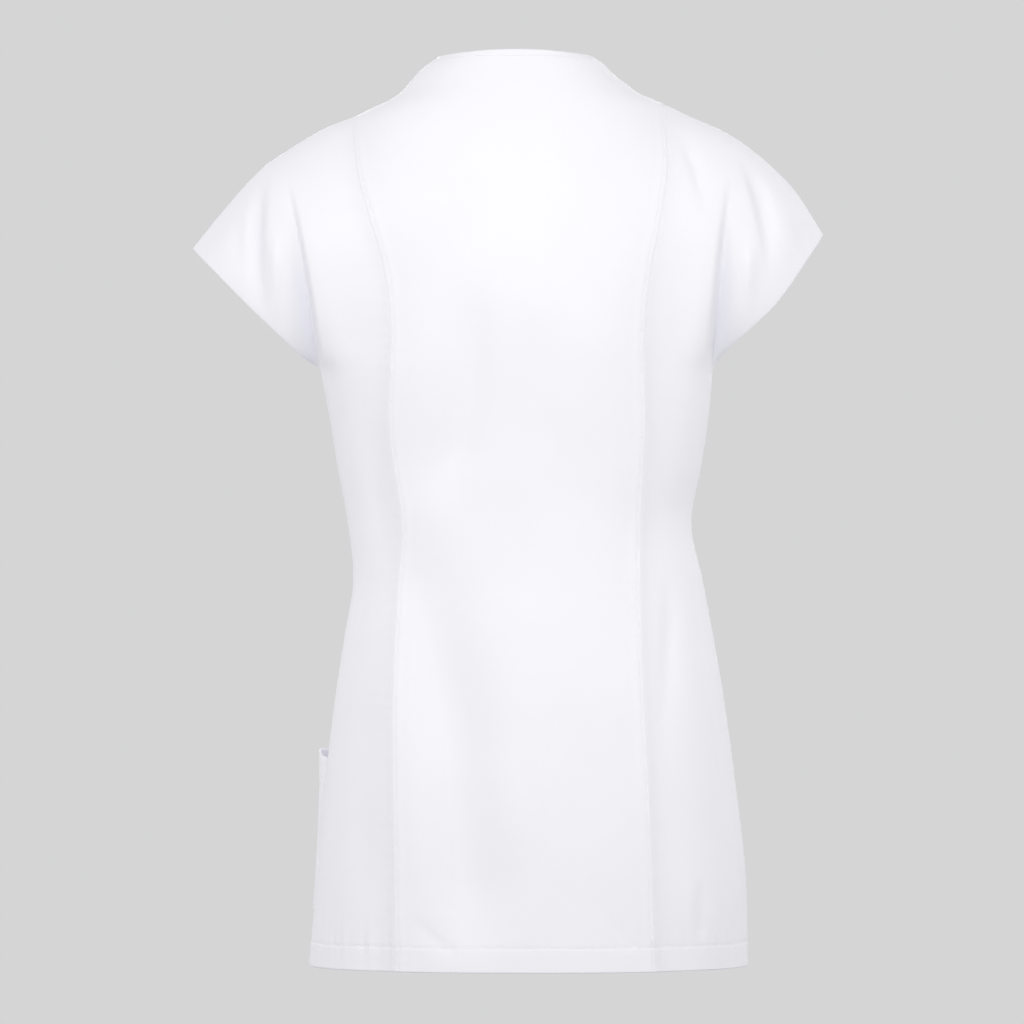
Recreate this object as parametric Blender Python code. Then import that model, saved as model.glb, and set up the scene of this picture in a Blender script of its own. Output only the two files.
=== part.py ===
"""White work blouse with grown-on cap sleeves and a funnel collar, filled out as if worn, with nobody in it.

The front faces -Y and the back faces +Y, so +X is the wearer's left. The origin is in the middle of the
neck at shoulder height. Every cut piece is a cloth wall over a grid of points, and all the seams that run
down the garment's outline (side, overarm, shoulder and collar side) lie in one upright plane.
"""

import bpy
import numpy as np

# Driving dimensions, in metres
MM = 0.001
WALL = 1.5 * MM
SEAM_GAP = 0.3 * MM
OUTLINE_PLANE = -6 * MM
ROUNDNESS = 2.3
SHOULDER_ROUND = 125 * MM
CUFF_BACK = 46 * MM
CUFF_FRONT = 52 * MM
FRONT_LAP = 15 * MM
LAP_STEP = WALL + 2 * SEAM_GAP
STUD_RADIUS = 5.5 * MM
STUD_HEIGHT = 1.6 * MM
STUD_COUNT = 8
STUD_TOP = 32 * MM
STUD_PITCH = 82 * MM
POCKET_LIFT = 2 * SEAM_GAP
POCKET_MOUTH = -536 * MM
POCKET_FOOT = -672 * MM
POCKET_GAPE = 11 * MM
POCKET_SIDE_SHARE = 0.4
POCKET_GAPE_DEPTH = 48 * MM
LAP_FADE = 16 * MM
FOLD_FADE = 26 * MM

# How many steps each kind of grid has
SKIRT_ROWS = 5
WAIST_ROWS = 5
CHEST_ROWS = 4
SLEEVE_ROWS = 11
SIDE_COLUMNS = 14
BACK_HALF_COLUMNS = 7
FRONT_COLUMNS = 8
COLLAR_ROWS = 6
POCKET_ROWS = 8
STUD_SIDES = 16
FRONT_READINGS = 40

# Where the side panels' fanned columns draw together: how strongly, round which share of the row, and the
# armhole fold's share of the row at the underarm and how far that share falls on the way up
FOLD_PACKING = 0.45
FOLD_MIDDLE = 0.62
FOLD_FOOT_SHARE = 0.80
FOLD_LEAN = 0.33

# Heights where the garment's parts change, left and right where they differ
HEM = -714.5 * MM
WAIST_FOOT = -430 * MM
WAIST_TOP = -290 * MM
UNDERARM = -218 * MM
SHOULDER_LEFT = -7.5 * MM
SHOULDER_RIGHT = 3.3 * MM
SHOULDER_MIDDLE = 3 * MM

# The side seams from hem to underarm: height, left across, right across, in millimetres from the origin.
SIDES = np.array([
    [-714.5, 174.0, -191.6],
    [-640, 167.5, -190.0],
    [-560, 160.5, -181.0],
    [-494, 152.8, -172.0],
    [-440, 144.5, -162.8],
    [-396, 137.7, -154.5],
    [-347, 142.0, -144.8],
    [-300, 150.5, -152.8],
    [-260, 157.0, -158.9],
    [-218, 165.0, -162.6],
]) * MM

# The princess seams from hem to shoulder seam: height, left across, right across.
PRINCESS = np.array([
    [-714.5, 101.5, -113.5],
    [-640, 102.7, -111.0],
    [-560, 104.0, -108.0],
    [-494, 104.4, -104.4],
    [-440, 102.3, -103.0],
    [-396, 100.0, -102.0],
    [-347, 97.0, -102.4],
    [-300, 103.6, -104.2],
    [-260, 107.7, -106.0],
    [-218, 106.2, -104.5],
    [-176, 105.8, -105.3],
    [-135, 111.0, -110.2],
    [-93, 123.3, -118.0],
    [-48, 134.5, -124.0],
    [-7.5, 136.4, -121.5],
    [3.3, 136.4, -121.1],
]) * MM

# The middle of the back and front seen from the side: height, depth of the back, depth of the front.
PROFILE = np.array([
    [-714.5, 112, -125],
    [-640, 110, -122],
    [-560, 105, -118],
    [-500, 98, -114],
    [-440, 88, -110],
    [-390, 81, -108],
    [-345, 80, -112],
    [-300, 85, -123],
    [-250, 94, -134],
    [-200, 101, -135],
    [-150, 103, -126],
    [-100, 98, -112],
    [-60, 88, -98],
    [-25, 76, -86],
    [3, 66, -77],
    [20, 60, -70],
    [45.5, 55, -63],
]) * MM

# The shoulder seam from the princess seams to the neck and on up the collar's sides: left across, left
# height, right across, right height, then the height in the middle.
COLLAR = np.array([
    [136.4, -7.5, -121.1, 3.3, 3],
    [118.0, 1.5, -110.0, 8.2, 8],
    [104.0, 7.0, -101.0, 11.0, 13],
    [94.5, 16.0, -92.5, 18.0, 20],
    [84.3, 28.4, -80.5, 27.0, 30],
    [75.6, 36.0, -72.6, 35.1, 38.5],
    [66.8, 42.0, -62.8, 42.2, 45.5],
]) * MM

# The sleeve hems from the underarm to the tip, evenly spaced by angle round the opening: across, height.
CUFF_LEFT = np.array([[164.9, -218], [182.5, -209.5], [220.1, -170], [257.1, -132.5], [271.8, -116.9]]) * MM
CUFF_RIGHT = np.array([[-162.6, -218], [-178.0, -204.0], [-213.7, -165], [-243.3, -123.2],
                       [-255.1, -105.7]]) * MM

# The overarm seams from the shoulder seam's end to the sleeve's tip: across, height.
OVERARM_LEFT = np.array([[136.4, -7.5], [161.2, -17.1], [189.1, -33.4], [213.8, -50.5], [241.7, -80.2],
                         [271.8, -116.9]]) * MM
OVERARM_RIGHT = np.array([[-121.1, 3.3], [-146.1, -8.5], [-173, -20.5], [-200.4, -39.2], [-230.9, -68.5],
                          [-255.1, -105.7]]) * MM

# The largest folds, each a trough along a bowed line: 1 for the back or -1 for the front, start across,
# start height, end across, end height, sideways bow, half width, and depth, in millimetres.
FOLDS = np.array([
    [1, 199, -54, 168, -214, -3, 10, 20],
    [1, -190, -42, -167, -212, 6, 10, 19],
    [-1, 197, -54, 168, -214, -3, 10, 18],
    [-1, -188, -42, -167, -212, 6, 10, 18],
    [1, 208, -48, 208, -164, 6, 7, 5],
    [1, -186, -44, -204, -128, -5, 7, 5],
    [1, 30, -400, 38, -660, 6, 20, 5],
    [1, -20, -190, -26, -300, 4, 22, 3],
    [1, 44, -188, 66, -270, 4, 20, 3],
    [1, 119, -500, 133, -668, 3, 9, 5],
    [1, -124, -420, -117, -560, -3, 9, 4],
    [-1, 60, -330, 96, -560, -6, 18, 5],
    [-1, -58, -350, -92, -600, 6, 18, 5],
])
FOLDS = np.hstack([FOLDS[:, :1], FOLDS[:, 1:] * MM])

MATERIALS = {
    "white_twill": ((0.86, 0.86, 0.90), 0.72, 0.0),
    "stud_enamel": ((0.88, 0.88, 0.90), 0.35, 0.0),
}


def curve_through(keys, rows, at):
    """Rows read at places along their keys, on a smooth curve through every row with its slopes from its
    neighbours."""
    slopes = np.gradient(rows, keys, axis=0)
    k = np.clip(np.searchsorted(keys, at) - 1, 0, len(keys) - 2)
    step = (keys[k + 1] - keys[k])[:, None]
    f = (np.asarray(at) - keys[k])[:, None] / step
    return (rows[k] * (2 * f**3 - 3 * f**2 + 1) + slopes[k] * step * (f**3 - 2 * f**2 + f)
            + rows[k + 1] * (3 * f**2 - 2 * f**3) + slopes[k + 1] * step * (f**3 - f**2))


def by_height(table, heights):
    return curve_through(table[:, 0], table[:, 1:], heights)


def by_share(table, shares):
    return curve_through(np.linspace(0, 1, len(table)), table, shares)


def smooth_step(value):
    value = np.clip(value, 0, 1)
    return value * value * (3 - 2 * value)


def arc_across(angle):
    """How far across a rounded section an angle from its middle reaches, from 0 to 1 at a quarter turn."""
    return np.sign(angle) * np.abs(np.sin(angle)) ** (2 / ROUNDNESS)


def arc_depth(angle):
    """How deep the same section is there, from 1 in its middle to 0 at a quarter turn."""
    return np.clip(np.cos(angle), 0, 1) ** (2 / ROUNDNESS)


def angle_of_share(share):
    """The angle at which a rounded section's depth is this share of its full depth."""
    return np.arccos(np.clip(share, 0, 1) ** (ROUNDNESS / 2))


def body_heights():
    """Heights of the level rows, closest together round the waist's turn."""
    skirt = np.linspace(HEM, WAIST_FOOT, SKIRT_ROWS + 1)
    waist = np.linspace(WAIST_FOOT, WAIST_TOP, WAIST_ROWS + 1)[1:]
    chest = np.linspace(WAIST_TOP, UNDERARM, CHEST_ROWS + 1)[1:]
    return np.concatenate([skirt, waist, chest])


def sleeve_turn():
    """Angles round the sleeve's opening, from the underarm to the tip, one for each row above the body."""
    return np.linspace(0, np.pi, SLEEVE_ROWS + 1)[1:]


def sleeve_rise():
    """How far up from the underarm's height to the shoulder seam each of those rows starts."""
    return (1 - np.cos(sleeve_turn())) / 2


def body_section(heights, back):
    """Middle and half width of the body at heights, and how deep it is there from the outline plane."""
    sides = by_height(SIDES, heights)
    depth = by_height(PROFILE, heights)[:, 0 if back > 0 else 1] - OUTLINE_PLANE
    return (sides[:, 0] + sides[:, 1]) / 2, (sides[:, 0] - sides[:, 1]) / 2, depth


def seam_share(side, heights):
    """The princess seam's depth on the body's sections, as a share of their full depth."""
    middle, half, _ = body_section(heights, 1)
    seam = by_height(PRINCESS, heights)[:, 0 if side > 0 else 1]
    return (1 - (np.abs(seam - middle) / half) ** ROUNDNESS) ** (1 / ROUNDNESS)


def princess_above(side, back):
    """Points of one princess seam above the underarm, rounding over to the outline plane at the shoulder."""
    top = SHOULDER_LEFT if side > 0 else SHOULDER_RIGHT
    heights = UNDERARM + (top - UNDERARM) * sleeve_rise()
    across = by_height(PRINCESS, heights)[:, 0 if side > 0 else 1]
    full = by_height(PROFILE, heights)[:, 0 if back > 0 else 1] - OUTLINE_PLANE
    below = np.clip((top - heights) / SHOULDER_ROUND, 0, 1)
    turned = (1 - (1 - below) ** ROUNDNESS) ** (1 / ROUNDNESS)
    share = seam_share(side, np.array([UNDERARM]))
    return np.stack([across, OUTLINE_PLANE + full * share * turned, heights], 1)


def side_grid(side, back):
    """A side panel with its half sleeve: level rows from princess seam to side seam, then fanned rows up to
    the overarm seam, blended between the panel's four edges."""
    even = np.linspace(0, 1, SIDE_COLUMNS + 1)
    heights = body_heights()
    sections = zip(heights, *body_section(heights, back), seam_share(side, heights))
    rows = []
    for height, middle, half, deep, share in sections:
        angles = side * (angle_of_share(share) * (1 - even) + np.pi / 2 * even)
        rows.append(np.stack([middle + half * arc_across(angles), OUTLINE_PLANE + deep * arc_depth(angles),
                              np.full(len(even), height)], 1))
    under = rows[-1]
    turn = sleeve_turn()
    cuff = by_share(CUFF_LEFT if side > 0 else CUFF_RIGHT, turn / np.pi)
    puff = CUFF_BACK if back > 0 else CUFF_FRONT
    edge = np.stack([cuff[:, 0], OUTLINE_PLANE + back * puff * np.sin(turn), cuff[:, 1]], 1)
    seam = princess_above(side, back)
    for k, rise in enumerate(sleeve_rise()):
        u = fold_spacing(even, rise)[:, None]
        over = by_share(OVERARM_LEFT if side > 0 else OVERARM_RIGHT, u[:, 0])
        top = np.stack([over[:, 0], np.full(len(even), OUTLINE_PLANE), over[:, 1]], 1)
        low = np.stack([np.interp(u[:, 0], even, under[:, axis]) for axis in range(3)], 1)
        from_seam = seam[k] - (1 - rise) * under[0] - rise * top[0]
        from_cuff = edge[k] - (1 - rise) * under[-1] - rise * top[-1]
        rows.append((1 - rise) * low + rise * top + (1 - u**3) * from_seam + u**3 * from_cuff)
    return np.array(rows)


def fold_spacing(even, rise):
    """Column places on a fanned row, drawn together where the armhole fold runs."""
    fold = FOLD_FOOT_SHARE - FOLD_LEAN * rise**0.7
    packed = even - FOLD_PACKING * np.sin(2 * np.pi * (even - FOLD_MIDDLE)) / (2 * np.pi)
    packed = (packed - packed[0]) / (packed[-1] - packed[0])
    blend = smooth_step(rise / 0.15)
    moved = packed + (fold - FOLD_MIDDLE) * 4 * packed * (1 - packed)
    return even * (1 - blend) + moved * blend


def centre_rows(back):
    """For each row of the centre panels: the middle point, the two edge points and their depth shares."""
    heights = body_heights()
    middle, _, deep = body_section(heights, back)
    seams = by_height(PRINCESS, heights)
    rows = [([m, OUTLINE_PLANE + d, z], [left, z], [right, z], left_share, right_share)
            for m, d, z, (left, right), left_share, right_share
            in zip(middle, deep, heights, seams, seam_share(1, heights), seam_share(-1, heights))]
    heights = UNDERARM + (SHOULDER_MIDDLE - UNDERARM) * sleeve_rise()
    depths = by_height(PROFILE, heights)[:, 0 if back > 0 else 1]
    for z, y, left, right in zip(heights, depths, princess_above(1, back), princess_above(-1, back)):
        left_share, right_share = ((edge[1] - OUTLINE_PLANE) / (y - OUTLINE_PLANE) for edge in (left, right))
        rows.append(([middle[-1], y, z], left[[0, 2]], right[[0, 2]], left_share, right_share))
    collar = by_share(COLLAR, np.linspace(0, 1, COLLAR_ROWS + 1)[1:])
    depths = by_height(PROFILE, collar[:, 4])[:, 0 if back > 0 else 1]
    for y, row in zip(depths, collar):
        rows.append(([middle[-1], y, row[4]], row[[0, 1]], row[[2, 3]], 0.0, 0.0))
    return rows


def centre_half_row(row, side, back, angles_share):
    """One side's half of a centre row, at shares of the angle from the middle to the princess seam."""
    middle, left, right, left_share, right_share = row
    edge, share = (left, left_share) if side > 0 else (right, right_share)
    last = angle_of_share(share)
    angles = angles_share * last
    reach = arc_across(angles) / arc_across(last)
    across = middle[0] + (edge[0] - middle[0]) * reach
    height = middle[2] + (edge[1] - middle[2]) * reach**2
    depth = OUTLINE_PLANE + (middle[1] - OUTLINE_PLANE) * arc_depth(angles)
    return np.stack([across, depth, height], 1)


def back_centre_grid():
    """The centre back from its right edge to its left edge, hem to collar."""
    steps = np.linspace(0, 1, BACK_HALF_COLUMNS + 1)
    return np.array([
        np.concatenate([centre_half_row(row, -1, 1, steps[::-1]), centre_half_row(row, 1, 1, steps[1:])])
        for row in centre_rows(1)
    ])


def front_centre_grid(side):
    """One centre front, from the lap's edge past the middle to its princess seam, hem to collar."""
    steps = np.linspace(0, 1, FRONT_READINGS + 1)
    rows = []
    for row in centre_rows(-1):
        full = np.concatenate([centre_half_row(row, -side, -1, steps[::-1])[:-1],
                               centre_half_row(row, side, -1, steps)])
        run = (full[:, 0] - row[0][0]) * side
        order = np.argsort(run)
        places = np.concatenate([np.array([-FRONT_LAP, 0.0]), lap_to_seam(run[order][-1])])
        rows.append(np.stack([np.interp(places, run[order], full[order, axis]) for axis in range(3)], 1))
    grid = np.array(rows)
    if side > 0:
        run = grid[:, :, 0] - grid[:, 1:2, 0]
        grid[:, :, 1] += LAP_STEP * (1 - smooth_step((run - FRONT_LAP - 2 * MM) / LAP_FADE))
    return grid


def lap_to_seam(last):
    """Places across from just inside the lap to the seam, closing up where the cloth turns to the side."""
    share = np.sin(np.linspace(0, np.pi / 2, FRONT_COLUMNS)) ** 0.9
    return FRONT_LAP + (last - FRONT_LAP) * share


def fold_depth(points, back):
    """How far the folds press the cloth in at each point, fading where the front meets the back."""
    x, y, z = points[..., 0], points[..., 1], points[..., 2]
    total = np.zeros(x.shape)
    for face, x0, z0, x1, z1, bow, width, depth in FOLDS:
        if face != back:
            continue
        length = np.hypot(x1 - x0, z1 - z0)
        ux, uz = (x1 - x0) / length, (z1 - z0) / length
        along = ((x - x0) * ux + (z - z0) * uz) / length
        across = (x - x0) * uz - (z - z0) * ux - 4 * bow * along * (1 - along) * np.sign(uz)
        ends = smooth_step(along / 0.45) * smooth_step((1 - along) / 0.25 + 0.3)
        total += depth * np.exp(-((across / width) ** 2)) * ends
    return total * smooth_step(np.abs(y - OUTLINE_PLANE) / FOLD_FADE)


def grid_faces(rows, columns):
    """Corner numbers of a grid's squares, row by row."""
    first = np.arange((rows - 1) * columns).reshape(rows - 1, columns)[:, :-1].ravel()
    return np.stack([first, first + 1, first + columns + 1, first + columns], 1)


def shared_normals(grids, outward):
    """Normals of every grid's points, shared where grids meet, so that walls turn together at a seam."""
    points = np.concatenate([grid.reshape(-1, 3) for grid in grids])
    _, same = np.unique(np.round(points / (0.01 * MM)), axis=0, return_inverse=True)
    total = np.zeros((same.max() + 1, 3))
    start = 0
    for grid, way in zip(grids, outward):
        faces = grid_faces(*grid.shape[:2]) + start
        a, b, c, d = (points[faces[:, k]] for k in range(4))
        normal = way * np.cross(c - a, d - b)
        for k in range(4):
            np.add.at(total, same.ravel()[faces[:, k]], normal)
        start += grid.shape[0] * grid.shape[1]
    total /= np.maximum(np.linalg.norm(total, axis=1, keepdims=True), 1e-12)
    spread = total[same.ravel()]
    cuts = np.cumsum([grid.shape[0] * grid.shape[1] for grid in grids])[:-1]
    return [n.reshape(grid.shape) for n, grid in zip(np.split(spread, cuts), grids)]


def drawn_in(grid, edges):
    """The grid with the named edges moved in by half the seam's gap."""
    grid = grid.copy()
    for edge in edges:
        view = {"left": grid, "right": grid[:, ::-1], "bottom": grid.transpose(1, 0, 2),
                "top": grid.transpose(1, 0, 2)[:, ::-1]}[edge]
        run = view[:, 1] - view[:, 0]
        view[:, 0] += run / np.linalg.norm(run, axis=1, keepdims=True) * SEAM_GAP / 2
    return grid


def cloth_wall(name, outer, inner, way, material):
    """One closed wall between an outer and an inner grid of points."""
    rows, columns = outer.shape[:2]
    count = rows * columns
    face = grid_faces(rows, columns)
    rim = np.concatenate([np.arange(columns), columns * np.arange(1, rows) + columns - 1,
                          count - 2 - np.arange(columns - 1), columns * np.arange(rows - 2, 0, -1)])
    following = np.roll(rim, -1)
    sides = np.stack([rim, rim + count, following + count, following], 1)
    faces = np.concatenate([face, face[:, ::-1] + count, sides])
    if way < 0:
        faces = faces[:, ::-1]
    points = np.concatenate([outer.reshape(-1, 3), inner.reshape(-1, 3)])
    return add_object(name, points, faces, material)


def add_object(name, points, faces, material):
    mesh = bpy.data.meshes.new(name)
    mesh.from_pydata(points.tolist(), [], faces.tolist())
    mesh.materials.append(bpy.data.materials[material])
    mesh.shade_smooth()
    mesh.set_sharp_from_angle(angle=np.radians(50))
    made = bpy.data.objects.new(name, mesh)
    bpy.data.collections["work_blouse"].objects.link(made)
    return made


def make_panels():
    """All seven garment panels, and the outer grids and normals that the pocket and the studs lie on."""
    plan = [
        ("back_centre", back_centre_grid(), 1, ["left", "right"]),
        ("back_side_left", side_grid(1, 1), 1, ["left", "right", "top"]),
        ("back_side_right", side_grid(-1, 1), 1, ["left", "right", "top"]),
        ("front_side_left", side_grid(1, -1), -1, ["left", "right", "top"]),
        ("front_side_right", side_grid(-1, -1), -1, ["left", "right", "top"]),
        ("front_centre_left", front_centre_grid(1), -1, ["right"]),
        ("front_centre_right", front_centre_grid(-1), -1, ["right"]),
    ]
    grids = [grid for _, grid, _, _ in plan]
    ways = [outward_way(grid, back) for _, grid, back, _ in plan]
    flat = shared_normals(grids, ways)
    folded = [grid - normal * fold_depth(grid, back)[..., None]
              for grid, normal, (_, _, back, _) in zip(grids, flat, plan)]
    normals = shared_normals(folded, ways)
    made = {}
    for (name, _, _, edges), grid, normal, way in zip(plan, folded, normals, ways):
        outer = drawn_in(grid, edges)
        inner = drawn_in(grid - normal * WALL, edges)
        cloth_wall(name, outer, inner, way, "white_twill")
        made[name] = (outer, normal, way)
    return made


def outward_way(grid, back):
    """1 where the grid's own winding faces outwards, or -1, judged on its hem row."""
    a, b, d = grid[0, 1], grid[0, 2], grid[1, 1]
    return 1 if np.cross(b - a, d - a)[1] * back > 0 else -1


def make_pocket(panel):
    """The hip pocket, on the side front panel's own points between its two seams, gaping at its mouth."""
    outer, normal, way = panel
    heights = outer[:, 0, 2]
    rows = np.linspace(POCKET_FOOT, POCKET_MOUTH, POCKET_ROWS + 1)
    level = np.arange(len(body_heights()))
    at = np.interp(rows, heights[level], level)
    k = at.astype(int)
    f = (at - k)[:, None, None]
    base = outer[k] * (1 - f) + outer[k + 1] * f
    out = normal[k] * (1 - f) + normal[k + 1] * f
    out /= np.linalg.norm(out, axis=2, keepdims=True)
    keep = slice(1, base.shape[1] - 1)
    base, out = base[:, keep], out[:, keep]
    rise = smooth_step((rows - POCKET_MOUTH + POCKET_GAPE_DEPTH) / POCKET_GAPE_DEPTH)[:, None]
    across = np.linspace(0, 1, base.shape[1])[None, :]
    falling = 1 - (1 - POCKET_SIDE_SHARE) * smooth_step((across - 0.6) / 0.4)
    gape = POCKET_GAPE * rise**2 * smooth_step(across / 0.35) * falling
    lift = (POCKET_LIFT + gape)[..., None]
    cloth_wall("pocket_left", base + out * (lift + WALL), base + out * lift, way, "white_twill")


def make_studs(panel):
    """Domed stud caps down the lap, each a low cone of rings set on the cloth along its own normal."""
    outer, normal, _ = panel
    line, facing = outer[:, 1], normal[:, 1]
    for number in range(STUD_COUNT):
        height = STUD_TOP - STUD_PITCH * number
        seat = np.array([np.interp(height, line[:, 2], line[:, axis]) for axis in range(3)])
        way = np.array([np.interp(height, line[:, 2], facing[:, axis]) for axis in range(3)])
        way /= np.linalg.norm(way)
        add_stud(f"stud_{number + 1}", seat + way * SEAM_GAP, way)


def add_stud(name, seat, way):
    """One stud cap: a flat foot ring, a rounded shoulder and a flat top, as rings about its axis."""
    side = np.cross(way, [0.0, 0.0, 1.0])
    side /= np.linalg.norm(side)
    up = np.cross(way, side)
    turn = np.linspace(0, 2 * np.pi, STUD_SIDES, endpoint=False)
    profile = [(1.0, 0.0), (1.0, 0.45), (0.82, 0.85), (0.45, 1.0)]
    ring = np.cos(turn)[:, None] * side + np.sin(turn)[:, None] * up
    points = np.concatenate([seat + ring * STUD_RADIUS * r + way * STUD_HEIGHT * h for r, h in profile]
                            + [[seat, seat + way * STUD_HEIGHT]])
    step = np.arange(STUD_SIDES)
    following = np.roll(step, -1)
    faces = []
    for level in range(len(profile) - 1):
        low, high = level * STUD_SIDES, (level + 1) * STUD_SIDES
        faces += np.stack([low + step, low + following, high + following, high + step], 1).tolist()
    foot, top = len(points) - 2, len(points) - 1
    last = (len(profile) - 1) * STUD_SIDES
    faces += np.stack([following, step, np.full(STUD_SIDES, foot)], 1).tolist()
    faces += np.stack([last + step, last + following, np.full(STUD_SIDES, top)], 1).tolist()
    mesh = bpy.data.meshes.new(name)
    mesh.from_pydata(points.tolist(), [], faces)
    mesh.materials.append(bpy.data.materials["stud_enamel"])
    made = bpy.data.objects.new(name, mesh)
    bpy.data.collections["work_blouse"].objects.link(made)


def make_materials():
    for name, (colour, roughness, metallic) in MATERIALS.items():
        material = bpy.data.materials.new(name)
        material.use_nodes = True
        shader = material.node_tree.nodes["Principled BSDF"]
        shader.inputs["Base Color"].default_value = (*colour, 1)
        shader.inputs["Roughness"].default_value = roughness
        shader.inputs["Metallic"].default_value = metallic


for old in list(bpy.data.objects):
    bpy.data.objects.remove(old)
bpy.context.scene.collection.children.link(bpy.data.collections.new("work_blouse"))
make_materials()
panels = make_panels()
make_pocket(panels["front_side_left"])
make_studs(panels["front_centre_right"])
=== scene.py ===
import bpy
import numpy as np
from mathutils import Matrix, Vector


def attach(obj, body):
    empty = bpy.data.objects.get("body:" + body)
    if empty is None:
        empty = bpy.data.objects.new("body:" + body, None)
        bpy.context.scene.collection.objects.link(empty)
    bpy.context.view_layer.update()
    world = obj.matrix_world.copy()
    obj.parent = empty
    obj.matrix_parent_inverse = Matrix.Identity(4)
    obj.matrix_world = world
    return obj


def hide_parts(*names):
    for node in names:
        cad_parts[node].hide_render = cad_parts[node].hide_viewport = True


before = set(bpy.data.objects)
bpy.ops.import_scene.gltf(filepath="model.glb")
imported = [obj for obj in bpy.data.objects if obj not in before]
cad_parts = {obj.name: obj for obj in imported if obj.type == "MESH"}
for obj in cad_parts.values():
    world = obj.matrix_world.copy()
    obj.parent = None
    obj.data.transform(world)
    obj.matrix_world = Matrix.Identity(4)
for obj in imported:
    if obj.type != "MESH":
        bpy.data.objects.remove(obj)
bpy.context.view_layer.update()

# Centre back
# The middle panel of the back with the funnel collar's back grown on, cut from smooth white work twill. Its
# two long edges lie over the side backs, where they are pressed towards the middle and topstitched.

MM = 0.001
CLOTH_THICKNESS = 0.9 * MM
TURNING_THICKNESS = 1.9 * MM
LIP_SHARE = 0.35
ROUNDNESS = 2.3
SEAM_PLANE = -6 * MM
HEM = -714.5 * MM
UNDERARM = -218 * MM
SHOULDER_LEFT = -7.5 * MM
SHOULDER_RIGHT = 3.3 * MM
SHOULDER_MIDDLE = 3 * MM
SHOULDER_ROUND = 125 * MM
HEM_DEPTH = 20 * MM
COLLAR_FACING = 42 * MM
COLLAR_STITCH = 5 * MM
COLLAR_GROOVE = 0.35 * MM
PRINCESS_LINE = 3.8 * MM
STITCH_WIDTH = 0.9 * MM
SEAM_BAND = 0.45 * MM
SEAM_BAND_WIDTH = 6 * MM
SEAM_THREAD_GROOVE = 0.22 * MM
SEAM_EDGE_GROOVE = 0.38 * MM
EDGE_WIDTH = 1.2 * MM
PLAIN_SEAM_GROOVE = 0.4 * MM
PLAIN_SEAM_WIDTH = 1.1 * MM
HEM_BAND = 0.25 * MM
HEM_GROOVE = 0.36 * MM
BODY_ROWS = 196
SLEEVE_ROWS = 108
COLLAR_ROWS = 30
SHOULDER_ROW = BODY_ROWS + SLEEVE_ROWS
BACK_HALF_COLUMNS = 58
STITCH_SHARE = 0.972
SHARE_SPREAD = 0.022
BEND_SPREAD = 9 * MM
BEND_REACH = 28 * MM
BEND_CLEAR = 24 * MM
FLANK_REACH = 30 * MM
FOLD_LIMIT = 0.85
CRISP_FOLD = 3 * MM

# The side seams from hem to underarm: height, left across, right across, in millimetres from the neck
SIDES = np.array([
    [-714.5, 174.0, -191.6],
    [-640, 167.5, -190.0],
    [-560, 160.5, -181.0],
    [-494, 152.8, -172.0],
    [-440, 144.5, -162.8],
    [-396, 137.7, -154.5],
    [-347, 142.0, -144.8],
    [-300, 150.5, -152.8],
    [-260, 157.0, -158.9],
    [-218, 165.0, -162.6],
]) * MM

# The princess seams from hem to shoulder: height, left across, right across
PRINCESS = np.array([
    [-714.5, 101.5, -113.5],
    [-640, 102.7, -111.0],
    [-560, 104.0, -108.0],
    [-494, 104.4, -104.4],
    [-440, 102.3, -103.0],
    [-396, 100.0, -102.0],
    [-347, 97.0, -102.4],
    [-300, 103.6, -104.2],
    [-260, 107.7, -106.0],
    [-218, 106.2, -104.5],
    [-176, 105.8, -105.3],
    [-135, 111.0, -110.2],
    [-93, 123.3, -118.0],
    [-48, 134.5, -124.0],
    [-7.5, 136.4, -121.5],
    [3.3, 136.4, -121.1],
]) * MM

# The middle seen from the side: height, depth of the back, depth of the front
PROFILE = np.array([
    [-714.5, 112, -125],
    [-640, 110, -122],
    [-560, 105, -118],
    [-500, 98, -114],
    [-440, 88, -110],
    [-390, 81, -108],
    [-345, 80, -112],
    [-300, 85, -123],
    [-250, 94, -134],
    [-200, 101, -135],
    [-150, 103, -126],
    [-100, 98, -112],
    [-60, 88, -98],
    [-25, 76, -86],
    [3, 66, -77],
    [20, 60, -70],
    [45.5, 55, -63],
]) * MM

# The shoulder seam and the collar's sides: left across, left height, right across, right height, and the
# height of the middle
COLLAR = np.array([
    [136.4, -7.5, -121.1, 3.3, 3],
    [118.0, 1.5, -110.0, 8.2, 8],
    [104.0, 7.0, -101.0, 11.0, 13],
    [94.5, 16.0, -92.5, 18.0, 20],
    [84.3, 28.4, -80.5, 27.0, 30],
    [75.6, 36.0, -72.6, 35.1, 38.5],
    [66.8, 42.0, -62.8, 42.2, 45.5],
]) * MM

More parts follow.
